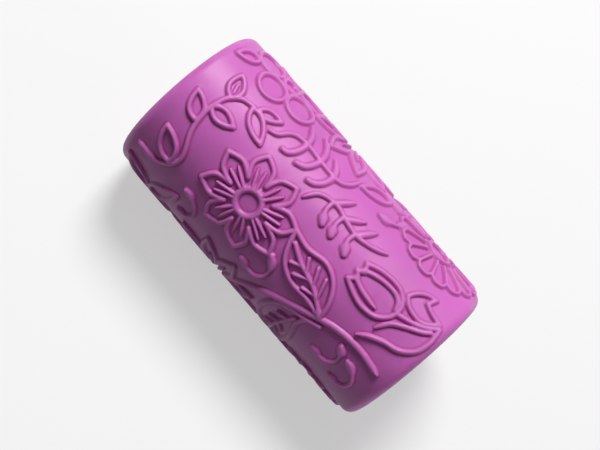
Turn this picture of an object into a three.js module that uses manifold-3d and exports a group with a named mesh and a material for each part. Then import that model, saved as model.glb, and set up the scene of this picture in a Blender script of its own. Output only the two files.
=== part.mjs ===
// Clay texture roller: a patterned shell on a core tube, with a hub in each end.
// Millimetres, +Z up. The roller lies along X with its centre at the origin.
import * as THREE from "three";
import { mergeVertices } from "three/addons/utils/BufferGeometryUtils.js";
import Module from "manifold-3d";

const wasm = await Module();
wasm.setup();

// Shell
const roller_length = 50.8;
const drum_diameter = 25.4;
const shell_wall = 3;
const end_rounding = 1.5;
const edge_chamfer = 0.5;

// Raised pattern
const relief_height = 0.5;
const line_width = 0.95;
const line_root_depth = 0.5;
const tiles_round = 2;
const tile_turn_degrees = 26.5;
const end_margin = 1.4;
const flower_stretch = 1.1;

// Core and hubs
const fit_clearance = 0.3;
const core_wall = 2;
const flange_thickness = 2;
const spigot_length = 6;
const spigot_lead = 0.6;
const rod_bore_diameter = 6.5;
const groove_diameter = 16;
const groove_width = 0.7;
const groove_depth = 0.35;

// Facets
const round_sides = 30;
const ring_sides = 8;
const small_ring_sides = 6;
const rounding_steps = 3;
const mitre_limit = 2.2;

// Sizes that follow from the ones above
const drum_radius = drum_diameter / 2;
const shell_bore_radius = drum_radius - shell_wall;
const flange_radius = shell_bore_radius - fit_clearance;
const core_radius = shell_bore_radius - fit_clearance;
const core_bore_radius = core_radius - core_wall;
const core_length = roller_length - 2 * (flange_thickness + fit_clearance);
const spigot_radius = core_bore_radius - fit_clearance;
const rod_bore_radius = rod_bore_diameter / 2;
const groove_inner_radius = (groove_diameter - groove_width) / 2;
const groove_outer_radius = (groove_diameter + groove_width) / 2;

// A raised line's foot lies under the drum's surface, where it is wider than line_width.
const line_foot_width = (line_width * (relief_height + line_root_depth)) / relief_height;

// The pattern is drawn flat on a tile, x along the roller and y round it towards the front.
// It repeats every tile_height.
const tile_height = 41.5;

const materials = {
  shell: new THREE.MeshStandardMaterial({ color: 0xb45aa5, roughness: 0.42, metalness: 0 }),
  core: new THREE.MeshStandardMaterial({ color: 0xe6e1e4, roughness: 0.5, metalness: 0 }),
  hub: new THREE.MeshStandardMaterial({ color: 0x9a4d8d, roughness: 0.45, metalness: 0 }),
};

// Solids of revolution and booleans

// Turns an outline of [distance along X, radius] pairs about the X axis.
// The outline runs along the bore towards +X and back along the outside.
function turned(pairs) {
  const closed = [...pairs, pairs[0]].reverse();
  const profile = closed.map(([along, radius]) => new THREE.Vector2(radius, along));
  const geometry = new THREE.LatheGeometry(profile, round_sides);
  geometry.deleteAttribute("normal");
  geometry.deleteAttribute("uv");
  geometry.rotateZ(-Math.PI / 2);
  return mergeVertices(geometry, 1e-5);
}

function solidOf(positions, triangles) {
  const mesh = new wasm.Mesh({
    numProp: 3,
    vertProperties: new Float32Array(positions),
    triVerts: new Uint32Array(triangles),
  });
  return new wasm.Manifold(mesh);
}

function geometryOf(solid) {
  const mesh = solid.getMesh();
  const geometry = new THREE.BufferGeometry();
  geometry.setAttribute("position", new THREE.BufferAttribute(mesh.vertProperties, 3));
  geometry.setIndex(new THREE.BufferAttribute(mesh.triVerts, 1));
  return geometry;
}

// Flat strokes of the pattern

function polar([x, y], radius, degrees) {
  const angle = THREE.MathUtils.degToRad(degrees);
  return [x + radius * Math.cos(angle), y + radius * Math.sin(angle)];
}

function line(...points) {
  return { points, closed: false };
}

function outline(...points) {
  return { points, closed: true };
}

function ring(centre, radius, sides) {
  const points = [];
  for (let i = 0; i < sides; i += 1) {
    points.push(polar(centre, radius, (360 * i) / sides));
  }
  return outline(...points);
}

// Point of a flower at a radius and an angle. Flowers are a little longer along the roller.
function about([x, y], radius, degrees) {
  const [across, up] = polar([0, 0], radius, degrees);
  return [x + across * flower_stretch, y + up];
}

// Flower of pointed petals. Each petal is a line from notch to tip and back, with short lines
// inside it.
function pointedFlower({ centre, petals, eye, notch, belly, tip, turn, veins, vein_from, vein_to }) {
  const pitch = 360 / petals;
  const strokes = eye > 0 ? [ring(centre, eye, ring_sides)] : [];
  for (let k = 0; k < petals; k += 1) {
    const middle = turn + pitch * k;
    strokes.push(
      line(
        about(centre, notch, middle - pitch / 2),
        about(centre, belly, middle - pitch / 3),
        about(centre, tip, middle),
        about(centre, belly, middle + pitch / 3),
        about(centre, notch, middle + pitch / 2),
      ),
    );
    for (const share of veins) {
      const angle = middle + share * pitch;
      strokes.push(line(about(centre, vein_from, angle), about(centre, vein_to, angle)));
    }
  }
  return strokes;
}

// Flower of many short blunt petals, with a line between each two.
function daisy({ centre, petals, eye, inner, notch, tip, turn }) {
  const pitch = 360 / petals;
  const points = [];
  const strokes = [ring(centre, eye, ring_sides)];
  for (let k = 0; k < petals; k += 1) {
    const side = turn + pitch * k;
    points.push(about(centre, notch, side));
    points.push(about(centre, tip, side + pitch / 2));
    strokes.push(line(about(centre, inner, side), about(centre, notch, side)));
  }
  strokes.push(outline(...points));
  return strokes;
}

// Round petals set about a small eye.
function roundFlower({ centre, petals, eye, reach, petal, turn }) {
  const strokes = [ring(centre, eye, small_ring_sides)];
  for (let k = 0; k < petals; k += 1) {
    strokes.push(ring(polar(centre, reach, turn + (360 * k) / petals), petal, ring_sides));
  }
  return strokes;
}

// Leaf outline from its base to its tip and back.
function leaf({ base, tip, half_width }) {
  const from = new THREE.Vector2(...base);
  const run = new THREE.Vector2(...tip).sub(from);
  const across = new THREE.Vector2(-run.y, run.x).normalize();
  const at = (share, offset) => {
    const point = from.clone().addScaledVector(run, share).addScaledVector(across, offset);
    return [point.x, point.y];
  };
  const lower = 0.3;
  const upper = 0.65;
  const lower_half = 0.95 * half_width;
  const upper_half = 0.85 * half_width;
  return outline(
    base,
    at(lower, lower_half),
    at(upper, upper_half),
    tip,
    at(upper, -upper_half),
    at(lower, -lower_half),
  );
}

function smallLeaves() {
  return [
    leaf({ base: [-18.9, -22.8], tip: [-23.8, -27.6], half_width: 1.4 }),
    leaf({ base: [-18.6, -23.2], tip: [-14.3, -29.5], half_width: 1.4 }),
    leaf({ base: [-21.4, -13.9], tip: [-24, -10.8], half_width: 1 }),
    leaf({ base: [6.4, -15.6], tip: [1.9, -12.1], half_width: 1.2 }),
    leaf({ base: [-19.3, -4.8], tip: [-20.8, -8.7], half_width: 1.1 }),
    leaf({ base: [-20.1, 1], tip: [-23.1, -2.1], half_width: 1.1 }),
    leaf({ base: [-20.1, -2], tip: [-15.9, -2.3], half_width: 1 }),
    leaf({ base: [-16.3, -6.4], tip: [-11.7, -3.6], half_width: 1.05 }),
    leaf({ base: [-15.5, -6.9], tip: [-12.2, -8.4], half_width: 0.8 }),
    leaf({ base: [-18.5, 8.4], tip: [-22.3, 4.6], half_width: 1.35 }),
  ];
}

// Veined leaf at the fork of the long stem.
function stemLeaf() {
  return [
    outline(
      [12, 6.4], [11.3, 3.8], [9.4, 1.3], [6.8, 0.3], [3.6, 0.9], [0.7, 0.4], [1.5, 2.7], [3, 4.8],
      [5.6, 6], [9, 5.9],
    ),
    line([12, 6.4], [8.4, 4.1], [4.6, 3], [2, 1.8]),
    line([4.8, 1.7], [6.1, 3.4]),
    line([6.7, 1.6], [8, 3.8]),
    line([8.6, 1.9], [9.8, 4.7]),
    line([3.4, 4], [5.1, 3.1]),
    line([4.9, 4.9], [7, 3.7]),
    line([7.2, 5.3], [9.2, 4.6]),
  ];
}

// Veined leaf that hangs from the long stem.
function hangingLeaf() {
  return [
    line([13, 7.3], [9.8, 8.6], [6.7, 10.1], [5.4, 12.2], [5.2, 15.4], [6.4, 18.6], [8.4, 20.8]),
    line([10.9, 8.4], [10.4, 10.1], [11.1, 13.2], [11, 16.4], [8.4, 20.8]),
    line([9.8, 9.6], [8.7, 13], [8.3, 18.4]),
    line([9.3, 11], [7.4, 11.6]),
    line([8.8, 13], [6.9, 14]),
    line([8.4, 15.2], [6.8, 16.4]),
    line([8.7, 13.4], [10, 14.6]),
    line([8.4, 15.6], [9.7, 16.8]),
  ];
}

function tulip() {
  return [
    outline(
      [10.6, -4], [13.5, -5.1], [16.6, -5.1], [18.2, -3.7], [18.1, -1.3], [16.6, 0.1],
      [14, 0.5], [10.3, -0.6], [11.2, -1.6], [10.4, -2.3], [11.3, -3],
    ),
    line([11.1, -3], [13.4, -4], [16, -4.3], [17.4, -3.7], [18, -2.7]),
    line([11.1, -1.5], [13.3, -0.9], [16, -0.7]),
  ];
}

function tulipLeaves() {
  return [
    outline(
      [17.7, -5.4], [18.2, -6.6], [19.4, -7.8], [20.9, -8.4], [20.4, -6.9], [23.7, -6.1], [22, -4.5],
      [20.3, -4.2], [18.7, -4.6],
    ),
    line(
      [18.4, -2.5], [20.3, -3.1], [22.4, -4.1], [24.1, -5.7], [24.5, -3.6], [24.2, -1.2],
      [22.2, 0.8], [20.1, 1.5], [18, 2.7], [16.9, 3.7],
    ),
    line([17.9, 1.1], [18.9, -0.9], [20.8, -2.3], [23.7, -4.4]),
  ];
}

function stems() {
  return [
    line(
      [23.3, 5.4], [19.7, 4.9], [17, 5], [14.5, 5.5], [12.4, 6.3], [8.5, 8.3], [5.2, 10.2],
      [2.6, 12.3], [0.6, 14.7], [-0.8, 16.6],
    ),
    line([-2.3, -3.3], [-1.4, -5.1], [0, -6], [2.1, -6.3], [6.3, -5.5], [9.7, -6.3], [11.6, -7.3]),
    line(
      [-12.4, -6.1], [-11.2, -6.7], [-10.3, -8.2], [-9.2, -9], [-7.2, -9.3], [-2.2, -9],
      [-0.4, -9.3], [0.8, -10.6], [1.4, -12.8],
    ),
    line(
      [-16.3, -6.6], [-18.1, -6.1], [-19.3, -4.9], [-20.1, -1.5], [-19.8, 1.2], [-18.3, 4.6],
      [-17.6, 6.3], [-17.9, 8], [-18.8, 9.2], [-20.5, 10.3], [-23.4, 10.2],
    ),
  ];
}

function sprigLeaves() {
  return [
    line([1.3, -6.3], [3.2, -8.9]),
    line([3.9, -5.9], [6.2, -8]),
    line([6.7, -5.6], [8.4, -8.3]),
    line([1.1, -6.2], [1.2, -4.6], [2.4, -2.7]),
    line([3.6, -5.9], [3.6, -4.3], [4.4, -2.5]),
    line([6.5, -5.5], [6.4, -4], [7.6, -2.2]),
  ];
}

function vineLeaves() {
  return [
    line([-9.2, -12.6], [-7.6, -10.2], [-7.7, -7.2], [-9.2, -5.6]),
    line([-6.6, -12.9], [-4.7, -10.7], [-4.7, -7.7], [-6.5, -5.9]),
    line([-3.3, -11.4], [-1.9, -9.7], [-1.8, -7.3], [-3.6, -5.5]),
  ];
}

function commas() {
  return [
    line([1.1, 5.6], [2.5, 8.2], [1.1, 10.4], [-1.6, 9.9]),
    line([-13.9, 9.5], [-11.4, 10.4], [-11, 12.9], [-13, 14]),
    line([17, 6.7], [18.2, 9.1], [16.7, 11], [14.6, 11]),
    line([19.2, 7.6], [21.7, 9.4], [21.3, 11.8], [19.1, 12.3]),
    line([6.8, -11], [9, -11.8], [10, -14]),
    line([7.4, -15.6], [8.9, -16.3], [9.3, -17.8]),
  ];
}

function tile() {
  return [
    ...pointedFlower({
      centre: [-6.6, 3.1], petals: 8, turn: 22.5, eye: 2, notch: 3.4, belly: 5.6, tip: 7.1,
      veins: [-0.15, 0.15], vein_from: 2.7, vein_to: 4.9,
    }),
    ...pointedFlower({
      centre: [-3.4, -20.9], petals: 10, turn: -5, eye: 0, notch: 3.2, belly: 5.8, tip: 8.2,
      veins: [0], vein_from: 1.8, vein_to: 4.6,
    }),
    ...daisy({
      centre: [16.4, -17.2], petals: 16, turn: 11.25, eye: 2, inner: 3.2, notch: 6.2, tip: 7.1,
    }),
    ...roundFlower({ centre: [-15.6, -15.8], petals: 5, turn: 38, eye: 1.4, reach: 4.3, petal: 2.35 }),
    ...smallLeaves(),
    ...stemLeaf(),
    ...hangingLeaf(),
    ...tulip(),
    ...tulipLeaves(),
    ...stems(),
    ...sprigLeaves(),
    ...vineLeaves(),
    ...commas(),
  ];
}

// Raised lines on the drum

const strokes = tile();
const tile_reach = Math.max(...strokes.flatMap(({ points }) => points.map(([x]) => Math.abs(x))));
const tile_scale = (roller_length / 2 - end_margin) / tile_reach;

// Places a point of the flat tile on the drum at a radius. The tile's outermost point comes
// to lie end_margin from the roller's end.
function wrapped([x, y], radius, tile_number) {
  const turn = (y / tile_height + tile_number) / tiles_round;
  const angle = THREE.MathUtils.degToRad(tile_turn_degrees) + 2 * Math.PI * turn;
  return [x * tile_scale, -radius * Math.sin(angle), radius * Math.cos(angle)];
}

// Vector square to a stroke at one of its points, longer at a corner so that the line
// keeps its width there.
function squareTo(points, closed, i) {
  const last = points.length - 1;
  const here = new THREE.Vector2(...points[i]);
  const before = new THREE.Vector2(...points[i === 0 ? (closed ? last : 0) : i - 1]);
  const after = new THREE.Vector2(...points[i === last ? (closed ? 0 : last) : i + 1]);
  const arriving = here.clone().sub(before).normalize();
  const leaving = after.clone().sub(here).normalize();
  const along = arriving.clone().add(leaving).normalize();
  const cosine = Math.max(along.dot(arriving), along.dot(leaving), 1 / mitre_limit);
  return [-along.y / cosine, along.x / cosine];
}

// A line of the pattern as a solid: a ridge with a peaked section, swept along its stroke.
function raisedLine({ points, closed }, tile_number) {
  const positions = [];
  const triangles = [];
  const foot_radius = drum_radius - line_root_depth;
  const crest_radius = drum_radius + relief_height;
  const corners = [
    [-line_foot_width / 2, foot_radius],
    [0, crest_radius],
    [line_foot_width / 2, foot_radius],
  ];
  points.forEach(([x, y], i) => {
    const [across_x, across_y] = squareTo(points, closed, i);
    for (const [offset, radius] of corners) {
      const shifted = [x + across_x * offset, y + across_y * offset];
      positions.push(...wrapped(shifted, radius, tile_number));
    }
  });
  const count = points.length;
  for (let i = 0; i < (closed ? count : count - 1); i += 1) {
    const here = 3 * i;
    const next = 3 * ((i + 1) % count);
    for (let j = 0; j < 3; j += 1) {
      const k = (j + 1) % 3;
      triangles.push(here + j, here + k, next + k, here + j, next + k, next + j);
    }
  }
  if (!closed) {
    const end = 3 * (count - 1);
    triangles.push(0, 2, 1);
    triangles.push(end, end + 1, end + 2);
  }
  return solidOf(positions, triangles);
}

// Pieces

function textureSleeve() {
  const half = roller_length / 2;
  const profile = [
    [-half, shell_bore_radius + edge_chamfer],
    [-half + edge_chamfer, shell_bore_radius],
    [half - edge_chamfer, shell_bore_radius],
    [half, shell_bore_radius + edge_chamfer],
  ];
  for (const end of [1, -1]) {
    for (let i = 0; i <= rounding_steps; i += 1) {
      const step = end > 0 ? i : rounding_steps - i;
      const angle = (Math.PI / 2) * (step / rounding_steps);
      profile.push([
        end * (half - end_rounding + end_rounding * Math.cos(angle)),
        drum_radius - end_rounding + end_rounding * Math.sin(angle),
      ]);
    }
  }
  const blank = turned(profile);
  let sleeve = solidOf(blank.attributes.position.array, blank.index.array);
  for (let tile_number = 0; tile_number < tiles_round; tile_number += 1) {
    for (const stroke of strokes) {
      sleeve = sleeve.add(raisedLine(stroke, tile_number));
    }
  }
  return geometryOf(sleeve);
}

function coreTube() {
  const half = core_length / 2;
  return turned([
    [-half, core_bore_radius],
    [half, core_bore_radius],
    [half, core_radius],
    [-half, core_radius],
  ]);
}

// Hub with its flange's outer face at x = 0 and its spigot towards +X. A shallow groove runs
// round the face.
function endHub() {
  const shoulder = flange_thickness;
  const spigot_end = flange_thickness + fit_clearance + spigot_length;
  return turned([
    [0, rod_bore_radius + edge_chamfer],
    [edge_chamfer, rod_bore_radius],
    [spigot_end, rod_bore_radius],
    [spigot_end, spigot_radius - spigot_lead],
    [spigot_end - spigot_lead, spigot_radius],
    [shoulder, spigot_radius],
    [shoulder, flange_radius],
    [edge_chamfer, flange_radius],
    [0, flange_radius - edge_chamfer],
    [0, groove_outer_radius],
    [groove_depth, groove_outer_radius],
    [groove_depth, groove_inner_radius],
    [0, groove_inner_radius],
  ]);
}

function piece(name, geometry, material) {
  const mesh = new THREE.Mesh(geometry, material);
  mesh.name = name;
  return mesh;
}

const roller = new THREE.Group();
roller.add(piece("texture_sleeve", textureSleeve(), materials.shell));
roller.add(piece("core_tube", coreTube(), materials.core));

const left_hub = piece("end_hub_left", endHub(), materials.hub);
left_hub.position.x = -roller_length / 2;
roller.add(left_hub);

const right_hub = piece("end_hub_right", endHub(), materials.hub);
right_hub.position.x = roller_length / 2;
right_hub.rotation.z = Math.PI;
roller.add(right_hub);

export default roller;
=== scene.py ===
"""Looks of the clay texture roller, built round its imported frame.

The roller lies along X with its centre at the origin. Blender's meshes are in metres, and
the sizes below are in millimetres unless their name says otherwise.
"""

import logging
import math
from dataclasses import dataclass
from enum import Enum

import bmesh
import bpy
import numpy as np
from mathutils import Matrix, Vector
from mathutils.geometry import delaunay_2d_cdt
from mathutils.kdtree import KDTree


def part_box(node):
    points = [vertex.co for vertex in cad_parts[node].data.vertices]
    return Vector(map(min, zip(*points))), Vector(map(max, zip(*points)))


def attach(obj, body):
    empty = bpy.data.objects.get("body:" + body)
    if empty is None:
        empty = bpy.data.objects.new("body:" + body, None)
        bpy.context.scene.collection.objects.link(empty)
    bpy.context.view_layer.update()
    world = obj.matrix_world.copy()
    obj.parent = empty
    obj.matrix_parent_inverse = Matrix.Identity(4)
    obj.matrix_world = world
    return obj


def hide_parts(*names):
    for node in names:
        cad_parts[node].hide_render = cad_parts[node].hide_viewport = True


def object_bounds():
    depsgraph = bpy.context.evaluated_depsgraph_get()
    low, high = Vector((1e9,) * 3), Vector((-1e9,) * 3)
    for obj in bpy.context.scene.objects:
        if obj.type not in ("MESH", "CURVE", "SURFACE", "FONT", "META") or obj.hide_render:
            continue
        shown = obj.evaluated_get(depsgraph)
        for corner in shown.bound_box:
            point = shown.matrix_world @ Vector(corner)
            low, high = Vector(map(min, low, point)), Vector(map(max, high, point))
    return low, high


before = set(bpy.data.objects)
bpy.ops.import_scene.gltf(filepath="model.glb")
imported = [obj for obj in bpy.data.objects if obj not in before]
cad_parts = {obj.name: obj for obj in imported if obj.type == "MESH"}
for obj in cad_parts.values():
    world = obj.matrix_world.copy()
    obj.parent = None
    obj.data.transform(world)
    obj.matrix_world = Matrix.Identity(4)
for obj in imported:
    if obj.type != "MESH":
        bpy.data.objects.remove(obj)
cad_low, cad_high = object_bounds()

Pair = tuple[float, float]
Triple = tuple[float, float, float]

MM = 0.001
TURNED_SIDES = 128
NOISE_SPAN: Pair = (0.3, 0.7)
WHITE = (1.0, 1.0, 1.0, 1.0)
LOG = logging.getLogger("roller")


# Flat drawing


def polar(centre: Pair, radius: float, degrees: float) -> Pair:
    """Return the point at a radius and an angle from a centre."""
    angle = math.radians(degrees)
    return centre[0] + radius * math.cos(angle), centre[1] + radius * math.sin(angle)


def ring(centre: Pair, radius: float, sides: int = 28) -> list[Pair]:
    """Return a closed round line, with its first point repeated at the end."""
    return [polar(centre, radius, 360 * i / sides) for i in range(sides + 1)]


def distances_along(points: list[Pair]) -> list[float]:
    """Return how far along a line each of its points lies."""
    steps = [math.dist(a, b) for a, b in zip(points, points[1:])]
    return [0.0, *np.cumsum(steps).tolist()]


def curve_through(points: list[Pair], steps: int = 6) -> list[Pair]:
    """Return a smooth line that passes through every given point.

    Args:
        points: The points, in order.
        steps: How many short pieces stand for each stretch between two points.

    Returns:
        The points of a Catmull-Rom curve.
    """
    ends = np.array([points[0], *points, points[-1]], float)
    smooth = []
    for before, here, after, beyond in zip(ends, ends[1:], ends[2:], ends[3:]):
        for k in range(steps):
            t = k / steps
            point = 0.5 * (
                2 * here
                + (after - before) * t
                + (2 * before - 5 * here + 4 * after - beyond) * t**2
                + (3 * here - before - 3 * after + beyond) * t**3
            )
            smooth.append((float(point[0]), float(point[1])))
    smooth.append(points[-1])
    return smooth


class Weight(Enum):
    """Kinds of raised line, from the widest to the narrowest."""

    BUD = 0
    STEM = 1
    LINE = 2
    VEIN = 3


@dataclass(frozen=True)
class Stroke:
    """One raised line of the flat pattern.

    Attributes:
        points: Its centre line.
        weight: How wide it is.
        ends: Share of its full width that it has at its start and at its end.
    """

    points: list[Pair]
    weight: Weight = Weight.LINE
    ends: Pair = (1.0, 1.0)

    def shares(self, run: float) -> list[float]:
        """Return the share of its full width that the line has at each of its points.

        Args:
            run: Distance from an end in which the line reaches its full width, which a short
                line does at its middle.

        Returns:
            A share for each point.
        """
        along = distances_along(self.points)
        run = min(run, along[-1] / 2)
        shares = []
        for place in along:
            ways = (place, along[-1] - place)
            eased = [math.sin(min(way / run, 1.0) * math.pi / 2) for way in ways]
            shares.append(min(end + (1 - end) * part for end, part in zip(self.ends, eased)))
        return shares

    def resampled(self, step: float) -> "Stroke":
        """Return the line with its points at even steps.

        Args:
            step: Greatest distance between two points.

        Returns:
            The same line, with both its ends among the points.
        """
        along = distances_along(self.points)
        places = np.linspace(0, along[-1], max(1, math.ceil(along[-1] / step)) + 1)
        xs, ys = (np.interp(places, along, [point[axis] for point in self.points]) for axis in (0, 1))
        return Stroke(list(zip(xs.tolist(), ys.tolist())), self.weight, self.ends)


@dataclass(frozen=True)
class Ridge:
    """Section of the raised lines: a round bead with steep feet.

    Attributes:
        height: How far the crest stands proud of the drum.
        crown: How flat the crest is; 2 is round, and more is flatter.
        wall: How steep the feet are; 0.5 is upright, and 1 slopes.
        taper_run: Distance from an end in which a line reaches its full width.
        bud_width: Width of a bud at its feet, and likewise the next three.
    """

    height: float = 0.5
    crown: float = 2.2
    wall: float = 0.72
    taper_run: float = 1.5
    bud_width: float = 1.6
    stem_width: float = 1.1
    line_width: float = 0.84
    vein_width: float = 0.65

    def foot(self, weight: Weight) -> float:
        """Return the distance from a line's centre to its foot.

        Args:
            weight: The kind of line.

        Returns:
            Half its width, where it has its full width.
        """
        widths = {
            Weight.BUD: self.bud_width,
            Weight.STEM: self.stem_width,
            Weight.LINE: self.line_width,
            Weight.VEIN: self.vein_width,
        }
        return widths[weight] / 2


@dataclass(frozen=True)
class FloralTile:
    """The flat pattern, with x along the roller and y round it towards the front.

    Attributes:
        reach: Distance of the outermost line from the middle, along x.
        height: Distance after which the pattern repeats, along y.
        stretch: How much longer along x than along y the flowers are.
        belly_share: Angle from a petal's tip to its widest place, as a share of the angle
            from one petal to the next.
        vein_ends: Share of its full width that a vein has at its root and at its tip.
        leaf_side: Points of a small leaf's side, as shares of its length and half width.
    """

    reach: float = 24.5
    height: float = 41.5
    stretch: float = 1.1
    belly_share: float = 0.34
    vein_ends: Pair = (1.0, 0.5)
    leaf_side: tuple[Pair, ...] = ((0, 0), (0.19, 0.72), (0.45, 1), (0.75, 0.66), (1, 0))

    def strokes(self) -> list[Stroke]:
        """Draw every line of one tile.

        Returns:
            The lines, each with its weight.
        """
        return [
            *self.open_flower((-6.6, 3.1)),
            *self.star_flower((-3.4, -20.9)),
            *self.daisy((16.4, -17.2)),
            *self.round_flower((-15.6, -15.8)),
            *self.stem_leaf(),
            *self.hanging_leaf(),
            *self.leaf((-18.9, -22.8), (-23.8, -27.6), 1.4),
            *self.leaf((-18.6, -23.2), (-14.3, -29.5), 1.4),
            *self.leaf((-21.4, -13.9), (-24.0, -10.8), 1.0),
            *self.leaf((6.4, -15.6), (1.9, -12.1), 1.2),
            *self.tulip(),
            *self.tulip_leaves(),
            *self.sprig(),
            *self.vine(),
            *self.tendril(),
            *self.commas(),
        ]

    def about(self, centre: Pair, radius: float, degrees: float) -> Pair:
        """Return the point of a flower at a radius and an angle from its centre."""
        x, y = polar((0, 0), radius, degrees)
        return centre[0] + x * self.stretch, centre[1] + y

    def vein(self, root: Pair, tip: Pair) -> Stroke:
        """Return a straight vein that narrows towards its tip."""
        return Stroke([root, tip], Weight.VEIN, self.vein_ends)

    def petal(self, centre: Pair, middle: float, pitch: float, radii: Triple) -> list[Stroke]:
        """Return a pointed petal.

        Args:
            centre: The flower's centre.
            middle: Angle of the petal's tip, in degrees.
            pitch: Angle from one petal to the next.
            radii: Distances of the notch, the widest place and the tip from the centre.

        Returns:
            One line for each of its two sides.
        """
        notch, belly, tip = radii
        return [
            Stroke(curve_through([
                self.about(centre, notch, middle + side * pitch / 2),
                self.about(centre, belly, middle + side * pitch * self.belly_share),
                self.about(centre, tip, middle),
            ]))
            for side in (-1, 1)
        ]

    def open_flower(self, centre: Pair, petals: int = 8, turn: float = 22.5) -> list[Stroke]:
        """Return the flower of pointed petals, with two veins inside each one.

        Args:
            centre: Its centre.
            petals: How many petals it has.
            turn: Angle of the first petal's tip, in degrees.

        Returns:
            Its eye, and each petal with its veins.
        """
        pitch = 360 / petals
        eye, vein_from, vein_to = 1.98, 2.3, 4.9
        petal_radii = (3.4, 5.6, 7.1)
        vein_share = 0.15
        strokes = [Stroke(ring(centre, eye), Weight.STEM)]
        for k in range(petals):
            middle = turn + pitch * k
            strokes += self.petal(centre, middle, pitch, petal_radii)
            for side in (-vein_share, vein_share):
                angle = middle + side * pitch
                root = self.about(centre, vein_from, angle)
                strokes.append(self.vein(root, self.about(centre, vein_to, angle)))
        return strokes

    def star_flower(self, centre: Pair, petals: int = 10, turn: float = -5) -> list[Stroke]:
        """Return the flower of slender petals, with one vein inside each one.

        Args:
            centre: Its centre.
            petals: How many petals it has.
            turn: Angle of the first petal's tip, in degrees.

        Returns:
            Each petal with its vein.
        """
        pitch = 360 / petals
        vein_from, vein_to = 1.6, 4.6
        petal_radii = (3.2, 5.8, 8.2)
        strokes = []
        for k in range(petals):
            middle = turn + pitch * k
            strokes += self.petal(centre, middle, pitch, petal_radii)
            root = self.about(centre, vein_from, middle)
            strokes.append(self.vein(root, self.about(centre, vein_to, middle)))
        return strokes

    def daisy(self, centre: Pair, petals: int = 16, turn: float = 11.25) -> list[Stroke]:
        """Return the flower of blunt petals, with a line between each two.

        Args:
            centre: Its centre.
            petals: How many petals it has.
            turn: Angle of the first line between two petals, in degrees.

        Returns:
            Its eye, and the line beside and the edge of each petal.
        """
        pitch = 360 / petals
        eye, inner, notch, tip = 2.0, 3.0, 6.2, 7.0
        tip_shares = (0.28, 0.72)
        edge_steps = 3
        strokes = [Stroke(ring(centre, eye))]
        for k in range(petals):
            side = turn + pitch * k
            line = [self.about(centre, inner, side), self.about(centre, notch, side)]
            strokes.append(Stroke(line, Weight.VEIN))
            edge = [
                self.about(centre, notch, side),
                *(self.about(centre, tip, side + share * pitch) for share in tip_shares),
                self.about(centre, notch, side + pitch),
            ]
            strokes.append(Stroke(curve_through(edge, edge_steps), Weight.VEIN))
        return strokes

    def round_flower(self, centre: Pair, petals: int = 5, turn: float = 38) -> list[Stroke]:
        """Return the flower of round petals set about a small eye.

        Args:
            centre: Its centre.
            petals: How many petals it has.
            turn: Angle of the first petal, in degrees.

        Returns:
            Its eye and its petals.
        """
        eye, reach, petal = 1.4, 4.3, 2.35
        eye_sides = 16
        strokes = [Stroke(ring(centre, eye, eye_sides))]
        for k in range(petals):
            strokes.append(Stroke(ring(polar(centre, reach, turn + 360 * k / petals), petal)))
        return strokes

    def leaf(self, base: Pair, tip: Pair, half: float) -> list[Stroke]:
        """Return a small leaf.

        Args:
            base: Where it leaves its stem.
            tip: Its tip.
            half: Half its greatest width.

        Returns:
            Its two sides.
        """
        start = Vector(base)
        run = Vector(tip) - start
        across = Vector((-run.y, run.x)).normalized()
        strokes = []
        for side in (-1, 1):
            places = [
                start + run * share + across * (side * half * width)
                for share, width in self.leaf_side
            ]
            strokes.append(Stroke(curve_through([(place.x, place.y) for place in places])))
        return strokes

    def stem_leaf(self) -> list[Stroke]:
        """Return the long stem and the veined leaf at its fork.

        Returns:
            The stem, the leaf's sides and midrib, and its veins.
        """
        stem = [(23.3, 5.4), (19.7, 4.9), (17, 5), (14.5, 5.5), (12.4, 6.3), (8.5, 8.3), (5.2, 10.2),
                (2.6, 12.3), (0.6, 14.7), (-0.8, 16.6)]
        upper = [(12, 6.4), (11.3, 3.8), (9.4, 1.3), (6.8, 0.3), (3.6, 0.9), (0.7, 0.4)]
        lower = [(12, 6.4), (9, 5.9), (5.6, 6), (3, 4.8), (1.5, 2.7), (0.7, 0.4)]
        midrib = [(12, 6.4), (8.4, 4.1), (4.6, 3), (2, 1.8)]
        veins = [
            [(4.8, 1.7), (6.1, 3.4)], [(6.7, 1.6), (8, 3.8)], [(8.6, 1.9), (9.8, 4.7)],
            [(3.4, 4), (5.1, 3.1)], [(4.9, 4.9), (7, 3.7)], [(7.2, 5.3), (9.2, 4.6)],
        ]
        return [
            Stroke(curve_through(stem), Weight.STEM, ends=(0.3, 0.3)),
            *(Stroke(curve_through(side)) for side in (upper, lower, midrib)),
            *(self.vein(*vein) for vein in veins),
        ]

    def hanging_leaf(self) -> list[Stroke]:
        """Return the veined leaf that hangs from the long stem.

        Returns:
            Its sides, its midrib and its veins.
        """
        left = [(13, 7.3), (11.4, 8), (9.8, 8.6), (8.2, 9.2), (6.7, 10.1), (5.6, 11.7), (5.1, 13.8),
                (5.4, 16.4), (6.6, 18.8), (8.4, 20.8)]
        right = [(10.9, 8.4), (10.4, 10.1), (10.8, 12), (11.2, 14.6), (10.6, 17.8), (8.4, 20.8)]
        midrib = [(9.8, 9.6), (8.9, 12.4), (8.4, 15.4), (8.3, 18.4)]
        veins = [
            [(9.3, 11), (7.4, 11.6)], [(8.8, 13), (6.9, 14)], [(8.4, 15.2), (6.8, 16.4)],
            [(8.7, 13.4), (10, 14.6)], [(8.4, 15.6), (9.7, 16.8)],
        ]
        return [
            *(Stroke(curve_through(side)) for side in (left, right)),
            Stroke(curve_through(midrib), Weight.VEIN),
            *(self.vein(*vein) for vein in veins),
        ]

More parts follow.
